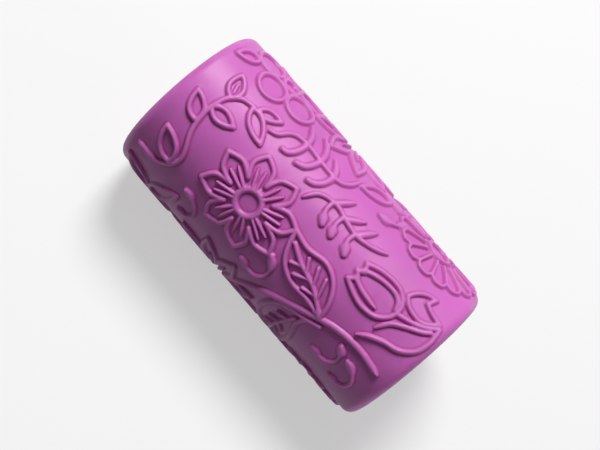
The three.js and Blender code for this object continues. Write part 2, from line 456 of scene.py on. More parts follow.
    def tulip(self) -> list[Stroke]:
        """Return the tulip's cup.

        Returns:
            Its two sides, the two lines inside it and its lip.
        """
        back = [(10.6, -4), (12.6, -4.9), (15, -5.3), (16.8, -5), (18.2, -3.7), (18.4, -2.5)]
        front = [(10.3, -0.6), (12.5, 0.2), (14.6, 0.5), (16.8, 0), (18.1, -1.3), (18.4, -2.5)]
        inner_back = [(10.9, -3), (13.4, -4), (16, -4.3), (17.4, -3.7), (18, -2.7)]
        inner_front = [(10.9, -1.5), (13.3, -0.9), (16, -0.7)]
        lip = [(10.6, -4), (11.3, -3), (10.4, -2.3), (11.2, -1.6), (10.3, -0.6)]
        return [
            *(Stroke(curve_through(side)) for side in (back, front, inner_back)),
            Stroke(curve_through(inner_front), ends=(1.0, 0.4)),
            Stroke(lip),
        ]

    def tulip_leaves(self) -> list[Stroke]:
        """Return the leaves about the tulip's stem.

        Returns:
            The small leaf, the stem, and the fold and the edge of the large leaf.
        """
        small = [
            [(17.7, -5.4), (18.2, -6.6), (19.4, -7.8), (20.9, -8.4)],
            [(20.9, -8.4), (20.4, -6.9)],
            [(20.4, -6.9), (21.8, -6.4), (23.7, -6.1)],
            [(17.7, -5.4), (18.7, -4.6), (20.3, -4.2), (22, -4.5), (23.7, -6.1)],
        ]
        stem = [(18.4, -2.5), (20.3, -3.1), (22.4, -4.1), (24.1, -5.7)]
        fold = [(17.9, 1.1), (18.9, -0.9), (20.8, -2.3), (22.6, -3.4), (23.7, -4.4)]
        large = [(24.1, -5.7), (24.5, -3.6), (24.3, -1.5), (23.5, -0.2), (22.2, 0.8), (20.1, 1.5),
                 (18, 2.7), (16.9, 3.7)]
        return [
            *(Stroke(curve_through(line)) for line in (*small, stem)),
            Stroke(curve_through(fold), ends=(0.4, 1.0)),
            Stroke(curve_through(large), ends=(1.0, 0.4)),
        ]

    def sprig(self) -> list[Stroke]:
        """Return the sprig with leaves on both sides, thick at their tips in front.

        Returns:
            Its stem, the leaves behind and in front, and the drops at the tips in front.
        """
        stem = [(-2.3, -3.3), (-1.4, -5.1), (0, -6), (2.1, -6.3), (4.2, -5.8), (6.3, -5.5), (7.6, -5.6),
                (9.7, -6.3), (11.6, -7.3)]
        behind = [[(1.3, -6.3), (3.2, -8.9)], [(3.9, -5.9), (6.2, -8)], [(6.7, -5.6), (8.4, -8.3)]]
        front = [
            [(1.1, -6.2), (1.2, -4.6), (2.3, -2.9)],
            [(3.6, -5.9), (3.6, -4.3), (4.3, -2.7)],
            [(6.5, -5.5), (6.4, -4), (7.5, -2.4)],
        ]
        drop_points = 6
        return [
            Stroke(curve_through(stem), ends=(0.4, 0.3)),
            *(Stroke(leaf, Weight.STEM, ends=(1.0, 0.4)) for leaf in behind),
            *(Stroke(curve_through(leaf)) for leaf in front),
            *(Stroke(curve_through(leaf)[-drop_points:], Weight.BUD, ends=(0.5, 0.7)) for leaf in front),
        ]

    def vine(self) -> list[Stroke]:
        """Return the vine with three long curved leaves.

        Returns:
            Its stem and its leaves.
        """
        stem = [(-12.4, -6.1), (-11.2, -6.7), (-10.3, -8.2), (-9.2, -9), (-7.2, -9.3), (-4.6, -9.1),
                (-2.2, -9), (-0.4, -9.3), (0.8, -10.6), (1.4, -12.8)]
        leaves = [
            [(-9.2, -12.6), (-7.9, -10.9), (-7.5, -8.9), (-7.7, -7.2), (-8.4, -6), (-9.2, -5.7)],
            [(-6.6, -12.9), (-5.4, -11.9), (-4.6, -10.2), (-4.6, -8.3), (-5.3, -6.6), (-6.5, -5.9)],
            [(-3.3, -11.4), (-2.1, -10.2), (-1.6, -8.5), (-1.9, -7), (-2.7, -5.9), (-3.6, -5.5)],
        ]
        return [
            Stroke(curve_through(stem), ends=(1.0, 0.4)),
            *(Stroke(curve_through(leaf), Weight.STEM, ends=(0.5, 0.9)) for leaf in leaves),
        ]

    def tendril(self) -> list[Stroke]:
        """Return the tendril near the left end.

        Returns:
            Its stem, which is thicker towards its tip, its fork and its small closed leaves.
        """
        stem = [(-19.3, -4.9), (-19.8, -3.8), (-20.1, -1.5), (-19.8, 1.2), (-19.2, 3), (-18.3, 4.6),
                (-17.6, 6.3), (-17.9, 8), (-18.8, 9.2), (-20, 10.1), (-21.5, 10.4), (-23.4, 10.2)]
        fork = [(-19.3, -4.9), (-18.1, -6.1), (-16.3, -6.6)]
        midrib = [(-19.6, -5.6), (-20.1, -7)]
        tip_points = 15
        return [
            Stroke(curve_through(stem)),
            Stroke(curve_through(stem)[-tip_points:], Weight.STEM, ends=(0.5, 0.8)),
            Stroke(curve_through(fork)),
            Stroke(midrib, Weight.VEIN),
            *self.leaf((-19.3, -4.8), (-20.8, -8.7), 1.1),
            *self.leaf((-20.1, 1), (-23.1, -2.1), 1.1),
            *self.leaf((-20.1, -2.0), (-15.9, -2.3), 1.0),
            *self.leaf((-16.3, -6.4), (-11.7, -3.6), 1.05),
            *self.leaf((-15.5, -6.9), (-12.2, -8.4), 0.8),
            *self.leaf((-18.5, 8.4), (-22.3, 4.6), 1.35),
        ]

    def commas(self) -> list[Stroke]:
        """Return the comma-shaped sprigs, each with a bud at both ends.

        Returns:
            The line and the two buds of each sprig.
        """
        bends = [
            [(1.1, 5.6), (2.3, 7.2), (2.4, 9), (1.3, 10.3), (-0.3, 10.4), (-1.6, 9.9)],
            [(-13.9, 9.5), (-12.4, 9.8), (-11.1, 10.8), (-10.8, 12.3), (-11.7, 13.6), (-13, 14)],
            [(17, 6.7), (17.9, 7.9), (18.1, 9.3), (17.3, 10.6), (16, 11.1), (14.6, 11)],
            [(19.2, 7.6), (20.8, 8.3), (21.8, 9.7), (21.6, 11.4), (20.4, 12.3), (19.1, 12.3)],
            [(6.8, -11), (8.4, -11.5), (9.6, -12.6), (10, -14)],
            [(7.4, -15.6), (8.9, -16.3), (9.3, -17.8)],
        ]
        bud_points = 8
        outer, inner = 0.6, 0.45
        strokes = []
        for bend in bends:
            line = curve_through(bend)
            strokes.append(Stroke(line, Weight.VEIN))
            strokes.append(Stroke(line[:bud_points], Weight.BUD, ends=(outer, inner)))
            strokes.append(Stroke(line[-bud_points:], Weight.BUD, ends=(inner, outer)))
        return strokes


# Sections and turned pieces


def rounded_outline(corners: list[Triple], steps: int, guard: float) -> list[Pair]:
    """Return a closed outline with its corners rounded.

    Args:
        corners: For each corner its distance along X, its radius from the axis and the
            radius of its rounding, which may be 0.
        steps: How many pieces stand for a rounding.
        guard: Distance of an extra point on each side of a rounding, which keeps the
            shading of the flat face beside it even.

    Returns:
        The outline's points, without the first one again at the end.
    """
    points = []
    count = len(corners)
    for i, (along, radius, rounding) in enumerate(corners):
        here = Vector((along, radius))
        if rounding == 0:
            points.append(here)
            continue
        back = (Vector(corners[i - 1][:2]) - here).normalized()
        on = (Vector(corners[(i + 1) % count][:2]) - here).normalized()
        half_angle = back.angle(on) / 2
        run = rounding / math.tan(half_angle)
        centre = here + (back + on).normalized() * rounding / math.sin(half_angle)
        first = here + back * run - centre
        last = here + on * run - centre
        points.append(here + back * (run + guard))
        for k in range(steps + 1):
            points.append(centre + first.slerp(last, k / steps) * rounding)
        points.append(here + on * (run + guard))
    return [(point.x, point.y) for point in points]


def placed(name: str, data: bpy.types.ID) -> bpy.types.Object:
    """Put a new object in the scene's collection.

    Args:
        name: The object's name.
        data: Its mesh, curve, lamp or camera.

    Returns:
        The object, at the origin.
    """
    thing = bpy.data.objects.new(name, data)
    bpy.context.scene.collection.objects.link(thing)
    return thing


def facing_out(mesh: bpy.types.Mesh) -> None:
    """Turn a closed mesh's faces outwards and shade it smooth.

    Args:
        mesh: The mesh, which is changed.
    """
    shell = bmesh.new()
    shell.from_mesh(mesh)
    bmesh.ops.recalc_face_normals(shell, faces=shell.faces)
    for face in shell.faces:
        face.smooth = True
    shell.to_mesh(mesh)
    shell.free()


def turned(name: str, outline: list[Pair], step: float) -> bpy.types.Object:
    """Turn a closed outline about the X axis.

    Args:
        name: The piece's name.
        outline: Pairs of distance along X and radius.
        step: Greatest length of a face along the outline.

    Returns:
        The piece as an object at the origin.
    """
    path = []
    for start, end in zip(outline, outline[1:] + outline[:1]):
        pieces = max(1, math.ceil(math.dist(start, end) / step))
        path += [
            (start[0] + (end[0] - start[0]) * k / pieces, start[1] + (end[1] - start[1]) * k / pieces)
            for k in range(pieces)
        ]
    verts = []
    for k in range(TURNED_SIDES):
        angle = 2 * math.pi * k / TURNED_SIDES
        verts += [(x * MM, -r * MM * math.sin(angle), r * MM * math.cos(angle)) for x, r in path]
    count = len(path)
    faces = []
    for k in range(TURNED_SIDES):
        here, there = k * count, (k + 1) % TURNED_SIDES * count
        for i in range(count):
            j = (i + 1) % count
            faces.append((here + i, here + j, there + j, there + i))
    mesh = bpy.data.meshes.new(name)
    mesh.from_pydata(verts, [], faces)
    facing_out(mesh)
    return placed(name, mesh)


# Node trees


class NodeTree:
    """Adds nodes to a node tree and joins them."""

    def __init__(self, tree: bpy.types.NodeTree) -> None:
        """Keep the tree that nodes are added to."""
        self.tree = tree

    def add(
        self, kind: str, values: dict[str | int, object] | None = None, **settings: object
    ) -> bpy.types.Node:
        """Add a node.

        Args:
            kind: The node's Blender type.
            values: A value or an output socket for each input, by its name or number.
            **settings: The node's own settings.

        Returns:
            The node.
        """
        node = self.tree.nodes.new(kind)
        for name, setting in settings.items():
            setattr(node, name, setting)
        for key, value in (values or {}).items():
            if isinstance(value, bpy.types.NodeSocket):
                self.tree.links.new(value, node.inputs[key])
            else:
                node.inputs[key].default_value = value
        return node

    def math(self, operation: str, *values: object) -> bpy.types.NodeSocket:
        """Add a Math node and return its result."""
        return self.add("ShaderNodeMath", dict(enumerate(values)), operation=operation).outputs[0]

    def blend(self, share: object, first: object, second: object) -> bpy.types.NodeSocket:
        """Add a Mix node for two colours and return the mixed one."""
        return self.add("ShaderNodeMix", {0: share, 6: first, 7: second}, data_type="RGBA").outputs[2]

    def named(self, name: str, kind: str = "FLOAT") -> bpy.types.NodeSocket:
        """Add a Named Attribute node and return the attribute."""
        return self.add("GeometryNodeInputNamedAttribute", {"Name": name}, data_type=kind).outputs[0]

    def remap(
        self, value: object, old: tuple[object, object], new: Pair, smooth: bool = False
    ) -> bpy.types.NodeSocket:
        """Add a Map Range node.

        Args:
            value: The value to map.
            old: Where the value starts and ends, each a number or a socket.
            new: What it becomes there.
            smooth: Whether the result eases in and out.

        Returns:
            The mapped value.
        """
        node = self.add(
            "ShaderNodeMapRange",
            {0: value, 1: old[0], 2: old[1], 3: new[0], 4: new[1]},
            interpolation_type="SMOOTHSTEP" if smooth else "LINEAR",
        )
        return node.outputs[0]


def shader_tree(owner: bpy.types.Material | bpy.types.World) -> NodeTree:
    """Empty the node tree of a material or a world.

    Args:
        owner: The material or the world.

    Returns:
        Its tree, ready for nodes.
    """
    owner.use_nodes = True
    owner.node_tree.nodes.clear()
    return NodeTree(owner.node_tree)


# Finishes


@dataclass(frozen=True)
class MouldedPlastic:
    """Satin moulded plastic.

    Attributes:
        name: The material's name.
        colour: Its colour, in linear values, as all colours here are.
        roughness: How satin its surface is.
        raised: Whether the piece has raised lines, whose crests get a paler tone and whose feet get
            painted shade.
        roughness_swing: How far the grain takes the roughness down and up.
        grain_scale: Scale of the fine grain.
        grain_depth: Depth of the fine grain.
        ripple_scale: Scale of the slow waves and clouds left by the mould.
        ripple_depth: Depth of the waves.
        cloud_tones: Share of the colour in the darkest and the lightest cloud.
        scatter: Share of the light that enters the plastic.
        scatter_radius: How far red, green and blue spread in it, beside scatter_depth.
        scatter_depth: How far light spreads in it.
        wear_and_highlight_colour: Paler colour of the crests, partly wear and partly a painted highlight
            where they catch the light.
        wear_and_highlight_from: Share of the lines' height above which the crests get that paler colour.
        wear_and_highlight_share: How much of wear_and_highlight_colour the crests have.
        painted_foot_shade_colour: Colour of the painted shade in the corner beside a line.
        painted_foot_shade_share: How much of painted_foot_shade_colour that painted shade has.
    """

    name: str
    colour: Triple
    roughness: float
    raised: bool = False
    roughness_swing: Pair = (-0.04, 0.05)
    grain_scale: float = 2600.0
    grain_depth: float = 0.006
    ripple_scale: float = 90.0
    ripple_depth: float = 0.02
    cloud_tones: Pair = (0.93, 1.05)
    scatter: float = 0.5
    scatter_radius: Triple = (1.0, 0.25, 0.7)
    scatter_depth: float = 0.4
    wear_and_highlight_colour: Triple = (0.82, 0.38, 0.7)
    wear_and_highlight_from: float = 0.75
    wear_and_highlight_share: float = 0.2
    painted_foot_shade_colour: Triple = (0.32, 0.012, 0.12)
    painted_foot_shade_share: float = 0.5

    def tone(self, share: float) -> tuple[float, float, float, float]:
        """Return the colour made lighter or darker by a share."""
        return (*(channel * share for channel in self.colour), 1.0)

    def material(self) -> bpy.types.Material:
        """Make the finish, with its patterns on Object coordinates.

        Returns:
            The material.
        """
        material = bpy.data.materials.new(self.name)
        nodes = shader_tree(material)
        place = nodes.add("ShaderNodeTexCoord").outputs["Object"]
        cloud = nodes.add(
            "ShaderNodeTexNoise",
            {"Vector": place, "Scale": self.ripple_scale, "Detail": 3, "Roughness": 0.5},
        ).outputs["Fac"]
        speck = nodes.add(
            "ShaderNodeTexNoise",
            {"Vector": place, "Scale": self.grain_scale, "Detail": 2, "Roughness": 0.6},
        ).outputs["Fac"]
        dark, light = (self.tone(share) for share in self.cloud_tones)
        base = nodes.blend(nodes.remap(cloud, NOISE_SPAN, (0, 1)), dark, light)
        if self.raised:
            base = self.paint_highlight_and_shade(nodes, base)
        ripple = nodes.add(
            "ShaderNodeBump", {"Height": cloud, "Distance": self.ripple_depth * MM, "Strength": 1}
        ).outputs[0]
        grain = nodes.add(
            "ShaderNodeBump",
            {"Height": speck, "Distance": self.grain_depth * MM, "Strength": 1, "Normal": ripple},
        ).outputs[0]
        smoother, rougher = (self.roughness + swing for swing in self.roughness_swing)
        surface = nodes.add(
            "ShaderNodeBsdfPrincipled",
            {
                "Base Color": base,
                "Roughness": nodes.remap(speck, NOISE_SPAN, (smoother, rougher)),
                "IOR": 1.45,
                "Subsurface Weight": self.scatter,
                "Subsurface Radius": self.scatter_radius,
                "Subsurface Scale": self.scatter_depth * MM,
                "Normal": grain,
            },
        )
        nodes.add("ShaderNodeOutputMaterial", {"Surface": surface.outputs[0]})
        return material

    def paint_highlight_and_shade(self, nodes: NodeTree, base: bpy.types.NodeSocket) -> bpy.types.NodeSocket:
        """Paint the crests of the raised lines paler, for wear and as a painted highlight, and paint shade
        at their feet.

        Args:
            nodes: The material's tree.
            base: The colour to shade.

        Returns:
            The shaded colour.
        """
        relief = nodes.add("ShaderNodeAttribute", attribute_name="relief").outputs["Fac"]
        foot = nodes.add("ShaderNodeAttribute", attribute_name="foot").outputs["Fac"]
        # Crests paler, partly for wear and partly as a painted highlight.
        wear_and_highlight_mask = nodes.remap(relief, (self.wear_and_highlight_from, 1), (0, self.wear_and_highlight_share))
        worn_and_highlit = nodes.blend(wear_and_highlight_mask, base, (*self.wear_and_highlight_colour, 1))
        # Painted shade in the corner at each line's foot.
        return nodes.blend(nodes.remap(foot, (0, 1), (0, self.painted_foot_shade_share)), worn_and_highlit, (*self.painted_foot_shade_colour, 1))


# Sub-assemblies


class PointSet:
    """Points of a flat mesh that keep a least distance from each other."""

    def __init__(self, least: float) -> None:
        """Start empty.

        Args:
            least: Least distance between two points.
        """
        self.least = least
        self.points: list[Pair] = []
        self.cells: dict[tuple[int, int], list[Pair]] = {}

    def cell(self, point: Pair) -> tuple[int, int]:
        """Return the column and the row of the cell that a point lies in."""
        return int(point[0] // self.least), int(point[1] // self.least)

    def put(self, point: Pair) -> int:
        """Add a point whatever is near it.

        Args:
            point: The point.

        Returns:
            Its number.
        """
        self.cells.setdefault(self.cell(point), []).append(point)
        self.points.append(point)
        return len(self.points) - 1

    def offer(self, point: Pair) -> None:
        """Add a point if no other is nearer than the least distance.

        Args:
            point: The point.
        """
        column, row = self.cell(point)
        for i in (column - 1, column, column + 1):
            for j in (row - 1, row, row + 1):
                for other in self.cells.get((i, j), ()):
                    if math.dist(point, other) < self.least:
                        return
        self.put(point)


@dataclass
class TextureSleeve:
    """The patterned shell, one tile of which is drawn flat and wrapped round the axis.

    Attributes:
        length: Length of the roller.
        drum_radius: Radius between the raised lines.
        wall: Thickness of the shell.
        end_rounding: Rounding of the outer edge.
        bore_rounding: Rounding of the bore's edge.
        edge_steps: How many pieces stand for a rounding.
        edge_guard: Distance of the extra points beside a rounding.
        end_margin: Distance from the outermost line to the end.
        tiles_round: How many tiles go round.
        turn_degrees: Where the tile's y = 0 lies, from the top towards the front.
        seam_share: How far below y = 0 the flat tile is cut, as a share of its height.
        ridge: Section of the raised lines.
        tile: The flat pattern.
        finish: The plastic.
        line_step: Distance between mesh points along a line.
        open_step: Distance between mesh points away from the lines.
        open_rows: Distance between rows of those points, as a share of open_step.
        least_gap: Least distance between mesh points.
        row_margin: Least distance from a row of the frame, as a share of least_gap.
        sharp_turn: Turn of a line, in degrees, above which points go round its corner.
        corner_sides: Least number of points round a corner or an end.
        weld_distance: Distance below which the points of two tiles' edges become one.
        shade_run: Distance from a line's foot in which its painted shade fades.
        rows: Where rows of mesh points lie beside a line, each as a share of the way from
            its centre to its foot and a distance beyond that.
    """

    length: float
    drum_radius: float = 12.7
    wall: float = 3.0
    end_rounding: float = 1.5
    bore_rounding: float = 0.5
    edge_steps: int = 8
    edge_guard: float = 0.15
    end_margin: float = 1.4
    tiles_round: int = 2
    turn_degrees: float = 26.5
    seam_share: float = 0.69
    ridge: Ridge = Ridge()
    tile: FloralTile = FloralTile()
    finish: MouldedPlastic = MouldedPlastic("lilac_shell", (0.68, 0.165, 0.58), 0.43, raised=True)
    line_step: float = 0.24
    open_step: float = 0.95
    open_rows: float = 0.87
    least_gap: float = 0.055
    row_margin: float = 0.7
    sharp_turn: float = 20.0
    corner_sides: int = 6
    weld_distance: float = 0.002
    shade_run: float = 0.32
    rows: tuple[Pair, ...] = ((0.0, 0.0), (1.0, 0.0), (0.8, 0.0), (0.5, 0.0), (1.0, 0.1), (1.0, 0.32))

    def section(self) -> list[Pair]:
        """Draw the shell's section.

        Returns:
            Its closed outline, from the middle of the bore towards +X and back.
        """
        half = self.length / 2
        bore = self.drum_radius - self.wall
        corners = [
            (half, bore, self.bore_rounding),
            (half, self.drum_radius, self.end_rounding),
            (-half, self.drum_radius, self.end_rounding),
            (-half, bore, self.bore_rounding),
        ]
        around = rounded_outline(corners, self.edge_steps, self.edge_guard)
        return [(0.0, bore), *around, (0.0, bore)]

    def stations(self) -> list[float]:
        """Return how far along the section each of its points lies."""
        return distances_along(self.section())

    def flat_height(self) -> float:
        """Return how far one tile reaches round the roller, at half the relief's height."""
        return math.tau * (self.drum_radius + self.ridge.height / 2) / self.tiles_round

    def lined_reach(self) -> float:
        """Return how far from the middle the raised lines reach, their feet included."""
        return self.length / 2 - self.end_margin + self.ridge.foot(Weight.STEM)

    def flat_strokes(self) -> list[Stroke]:
        """Lay out the tile's lines and their neighbours', with x measured along the section.

        Returns:
            The lines, in millimetres of the flat mesh.
        """
        middle = self.stations()[-1] / 2
        along = (self.length / 2 - self.end_margin) / self.tile.reach
        around = self.flat_height() / self.tile.height
        strokes = []
        for shift in (-self.tile.height, 0, self.tile.height):
            for stroke in self.tile.strokes():
                points = [(middle - x * along, (y + shift) * around) for x, y in stroke.points]
                strokes.append(Stroke(points, stroke.weight, stroke.ends))
        return strokes

    def strokes_object(self) -> bpy.types.Object:
        """Make the flat lines.

        Returns:
            A mesh of edges that know their weight and their share of its width.
        """
        verts, edges, weights, shares = [], [], [], []
        for stroke in self.flat_strokes():
            fine = stroke.resampled(self.least_gap)
            start = len(verts)
            verts += [(x * MM, y * MM, 0) for x, y in fine.points]
            edges += [(i, i + 1) for i in range(start, len(verts) - 1)]
            weights += [fine.weight.value] * len(fine.points)
            shares += fine.shares(self.ridge.taper_run)
        mesh = bpy.data.meshes.new("flat_lines")
        mesh.from_pydata(verts, edges, [])
        mesh.attributes.new("weight", "INT", "POINT").data.foreach_set("value", weights)
        mesh.attributes.new("share", "FLOAT", "POINT").data.foreach_set("value", shares)
        return placed("flat_lines", mesh)

    def section_object(self) -> bpy.types.Object:
        """Make the section.

        Returns:
            A curve in the XZ plane.
        """
        outline = self.section()
        curve = bpy.data.curves.new("shell_section", "CURVE")
        curve.dimensions = "3D"
        spline = curve.splines.new("POLY")
        spline.points.add(len(outline) - 1)
        for point, (along, radius) in zip(spline.points, outline):
            point.co = (along * MM, 0, radius * MM, 1)
        return placed("shell_section", curve)

    def flat_mesh(self) -> bpy.types.Mesh:
        """Make one tile of the shell as a flat mesh, dense along the lines.

        Returns:
            A mesh whose x runs along the section and whose y runs round the roller. Its
            two long edges have the same points, so that tiles meet.
        """
        stations = self.stations()
        middle = stations[-1] / 2
        low = -self.flat_height() * self.seam_share
        high = low + self.flat_height()
        lined = self.lined_reach()
        points = PointSet(self.least_gap)
        edges = self.frame_rows(points, stations, low, high)
        strokes = self.flat_strokes()
        samples = [point for stroke in strokes for point in stroke.resampled(self.least_gap).points]
        tree = KDTree(len(samples))
        for i, (x, y) in enumerate(samples):
            tree.insert((x, y, 0), i)
        tree.balance()
        margin = self.least_gap * self.row_margin

        def inside(point: Pair) -> bool:
            """Say whether a point lies in the lined part of the tile and clear of its rows."""
            in_tile = abs(point[0] - middle) < lined and low + margin < point[1] < high - margin
            return in_tile and min(abs(point[0] - station) for station in stations) > margin

        def gap(point: Pair) -> float:
            """Return the distance from a point to the nearest line."""
            return tree.find((point[0], point[1], 0))[2]

        for share, beyond in self.rows:
            for stroke in strokes:
                for point, reach in self.beside(stroke, share * self.ridge.foot(stroke.weight), beyond):
                    if inside(point) and gap(point) > reach - self.least_gap / 2:
                        points.offer(point)
        clear = self.ridge.foot(Weight.BUD) + self.open_step / 2
        for point in self.open_grid(middle, low):
            if inside(point) and gap(point) > clear:
                points.offer(point)
        flat = [Vector(point) for point in points.points]
        all_triangles, tolerance = 0, 1e-6
        verts, _, faces, *_ = delaunay_2d_cdt(flat, edges, [], all_triangles, tolerance)
        mesh = bpy.data.meshes.new("flat_tile")
        mesh.from_pydata([(v.x * MM, v.y * MM, 0) for v in verts], [], faces)
        LOG.info("flat tile: %d points, %d faces", len(verts), len(faces))
        return mesh

    def open_grid(self, middle: float, low: float) -> list[Pair]:
        """Return the points that fill the ground between the lines.

        Args:
            middle: The x of the roller's middle.
            low: The lower seam's y.

        Returns:
            Points in staggered rows, over the whole lined part of the tile.
        """
        lined = self.lined_reach()
        height = self.flat_height()
        rows = math.ceil(height / (self.open_step * self.open_rows))
        columns = math.ceil(2 * lined / self.open_step)
        return [
            (middle - lined + (i + 0.5 * (j % 2)) * self.open_step, low + height * j / rows)
            for j in range(1, rows)
            for i in range(columns)
        ]

    def frame_rows(
        self, points: PointSet, stations: list[float], low: float, high: float
    ) -> list[tuple[int, int]]:
        """Add the points of the section's rows and of the two seams.

        Args:
            points: The points of the flat mesh.
            stations: Where the section's points lie along it.
            low: The lower seam's y.
            high: The upper seam's y.

        Returns:
            The edges that the mesh has to keep.
        """
        middle = stations[-1] / 2
        lined = self.lined_reach()
        seam = list(stations)
        steps = math.ceil(2 * lined / self.line_step)
        nearest = [middle - lined + 2 * lined * i / steps for i in range(steps + 1)]
        seam += [x for x in nearest if min(abs(x - s) for s in stations) > self.line_step / 2]
        seam.sort()
        bottom = {x: points.put((x, low)) for x in seam}
        top = {x: points.put((x, high)) for x in seam}
        edges = [(bottom[a], bottom[b]) for a, b in zip(seam, seam[1:])]
        edges += [(top[a], top[b]) for a, b in zip(seam, seam[1:])]
        for station in stations:
            step = self.line_step if abs(station - middle) < lined else self.open_step
            count = math.ceil((high - low) / step)
            row = [bottom[station]]
            row += [points.put((station, low + (high - low) * k / count)) for k in range(1, count)]
            row.append(top[station])
            edges += list(zip(row, row[1:]))
        return edges

    def beside(self, stroke: Stroke, width: float, beyond: float) -> list[tuple[Pair, float]]:
        """Return a row of mesh points on both sides of a line and round its corners.

        Args:
            stroke: The line.
            width: Distance of the row from the centre where the line has its full width.
            beyond: Distance that is added to it everywhere.

        Returns:
            Each point with its distance from the centre line.
        """
        centre = stroke.resampled(self.line_step)
        shares = centre.shares(self.ridge.taper_run)
        if width + beyond == 0:
            return [(point, 0.0) for point in centre.points]
        row = []
        for a, b, share in zip(centre.points, centre.points[1:], shares):
            length = math.dist(a, b)
            reach = width * share + beyond
            across = ((a[1] - b[1]) / length * reach, (b[0] - a[0]) / length * reach)
            for side in (-1, 1):
                x = (a[0] + b[0]) / 2 + side * across[0]
                y = (a[1] + b[1]) / 2 + side * across[1]
                row.append(((x, y), reach))
        line = stroke.points
        turns = [
            (here, width + beyond)
            for before, here, after in zip(line, line[1:], line[2:])
            if (Vector(here) - Vector(before)).angle(Vector(after) - Vector(here))
            > math.radians(self.sharp_turn)
        ]
        ends = [(line[i], width * shares[i] + beyond) for i in (0, -1)]
        for corner, reach in (*ends, *turns):
            sides = max(self.corner_sides, math.ceil(2 * math.pi * reach / self.line_step))
            row += [(point, reach) for point in ring(corner, reach, sides)[:-1]]
        return row

    def tree(self) -> bpy.types.NodeTree:
        """Make the Geometry Nodes tree that raises the lines and wraps the tile.

        Returns:
            The tree, with an input for each size.
        """
        group = bpy.data.node_groups.new("wrap_tile", "GeometryNodeTree")
        sockets = {
            "Geometry": "NodeSocketGeometry",
            "Lines": "NodeSocketObject",
            "Section": "NodeSocketObject",
            "Line Height": "NodeSocketFloat",
            "Crown": "NodeSocketFloat",
            "Wall": "NodeSocketFloat",
            "Shade Run": "NodeSocketFloat",
            "Tile Height": "NodeSocketFloat",
            "Tiles Round": "NodeSocketInt",
            "Turn": "NodeSocketFloat",
            "Weld Distance": "NodeSocketFloat",
            "Material": "NodeSocketMaterial",
        }
        for weight in Weight:
            sockets[f"{weight.name.title()} Foot"] = "NodeSocketFloat"
        for name, kind in sockets.items():
            group.interface.new_socket(name, in_out="INPUT", socket_type=kind)
        group.interface.new_socket("Geometry", in_out="OUTPUT", socket_type="NodeSocketGeometry")
        nodes = NodeTree(group)
        given = nodes.add("NodeGroupInput").outputs
        relief, foot = self.relief_nodes(nodes, given)
        kept = given["Geometry"]
        # The foot attribute is the mask of painted shade beside the lines.
        for name, value in (("relief", relief), ("foot", foot)):
            kept = nodes.add(
                "GeometryNodeStoreNamedAttribute",
                {"Geometry": kept, "Name": name, "Value": value},
                data_type="FLOAT", domain="POINT",
            ).outputs[0]
        wrapped = nodes.add(
            "GeometryNodeSetPosition", {"Geometry": kept, "Position": self.wrap_nodes(nodes, given)}
        ).outputs[0]
        spots = nodes.add("GeometryNodePoints", {"Count": given["Tiles Round"]}).outputs[0]
        index = nodes.add("GeometryNodeInputIndex").outputs[0]
        share = nodes.math("DIVIDE", index, given["Tiles Round"])
        spin = nodes.add("ShaderNodeCombineXYZ", {"X": nodes.math("MULTIPLY", share, math.tau)}).outputs[0]
        copies = nodes.add(
            "GeometryNodeInstanceOnPoints", {"Points": spots, "Instance": wrapped, "Rotation": spin}
        ).outputs[0]
        real = nodes.add("GeometryNodeRealizeInstances", {"Geometry": copies}).outputs[0]
        joined = nodes.add(
            "GeometryNodeMergeByDistance", {"Geometry": real, "Distance": given["Weld Distance"]}
        ).outputs[0]
        dressed = nodes.add(
            "GeometryNodeSetMaterial", {"Geometry": joined, "Material": given["Material"]}
        ).outputs[0]
        nodes.add("NodeGroupOutput", {"Geometry": dressed})
        return group

    def relief_nodes(
        self, nodes: NodeTree, given: bpy.types.NodeOutputs
    ) -> tuple[bpy.types.NodeSocket, bpy.types.NodeSocket]:
        """Add the nodes that measure how far each point is from the lines.

        Args:
            nodes: The tree.
            given: The tree's inputs.

        Returns:
            How high each point stands, from 0 to 1, and how much painted shade it gets beside a line's
            foot.
        """
        lines = nodes.add("GeometryNodeObjectInfo", {"Object": given["Lines"]}).outputs["Geometry"]
        kind = nodes.named("weight", "INT")
        width = nodes.named("share")
        full_height_share = 0.5
        relief = beyond = None
        for weight in Weight:
            chosen = nodes.add(
                "FunctionNodeCompare", {2: kind, 3: weight.value}, data_type="INT", operation="EQUAL"
            ).outputs[0]
            part = nodes.add(
                "GeometryNodeSeparateGeometry", {"Geometry": lines, "Selection": chosen}, domain="POINT"
            ).outputs[0]
            distance = nodes.add(
                "GeometryNodeProximity", {0: part}, target_element="EDGES"
            ).outputs["Distance"]
            nearest = nodes.add("GeometryNodeSampleNearest", {"Geometry": part}, domain="POINT").outputs[0]
            share = nodes.add(
                "GeometryNodeSampleIndex",
                {"Geometry": part, "Value": width, "Index": nearest},
                data_type="FLOAT", domain="POINT",
            ).outputs[0]
            foot_edge = nodes.math("MULTIPLY", given[f"{weight.name.title()} Foot"], share)
            out = nodes.remap(distance, (0, foot_edge), (0, 1))
            bead = nodes.math("SUBTRACT", 1, nodes.math("POWER", out, given["Crown"]))
            bead = nodes.math("POWER", bead, given["Wall"])
            height = nodes.remap(share, (0, full_height_share), (0, 1), smooth=True)
            rise = nodes.math("MULTIPLY", bead, height)
            away = nodes.math("SUBTRACT", distance, foot_edge)
            relief = rise if relief is None else nodes.math("MAXIMUM", relief, rise)
            beyond = away if beyond is None else nodes.math("MINIMUM", beyond, away)
        # Painted shade mask: strongest at a line's foot, fading over Shade Run and gone on the line
        # itself.
        near = nodes.remap(nodes.math("ABSOLUTE", beyond), (0, given["Shade Run"]), (1, 0), smooth=True)
        return relief, nodes.math("MULTIPLY", near, nodes.math("SUBTRACT", 1, relief))

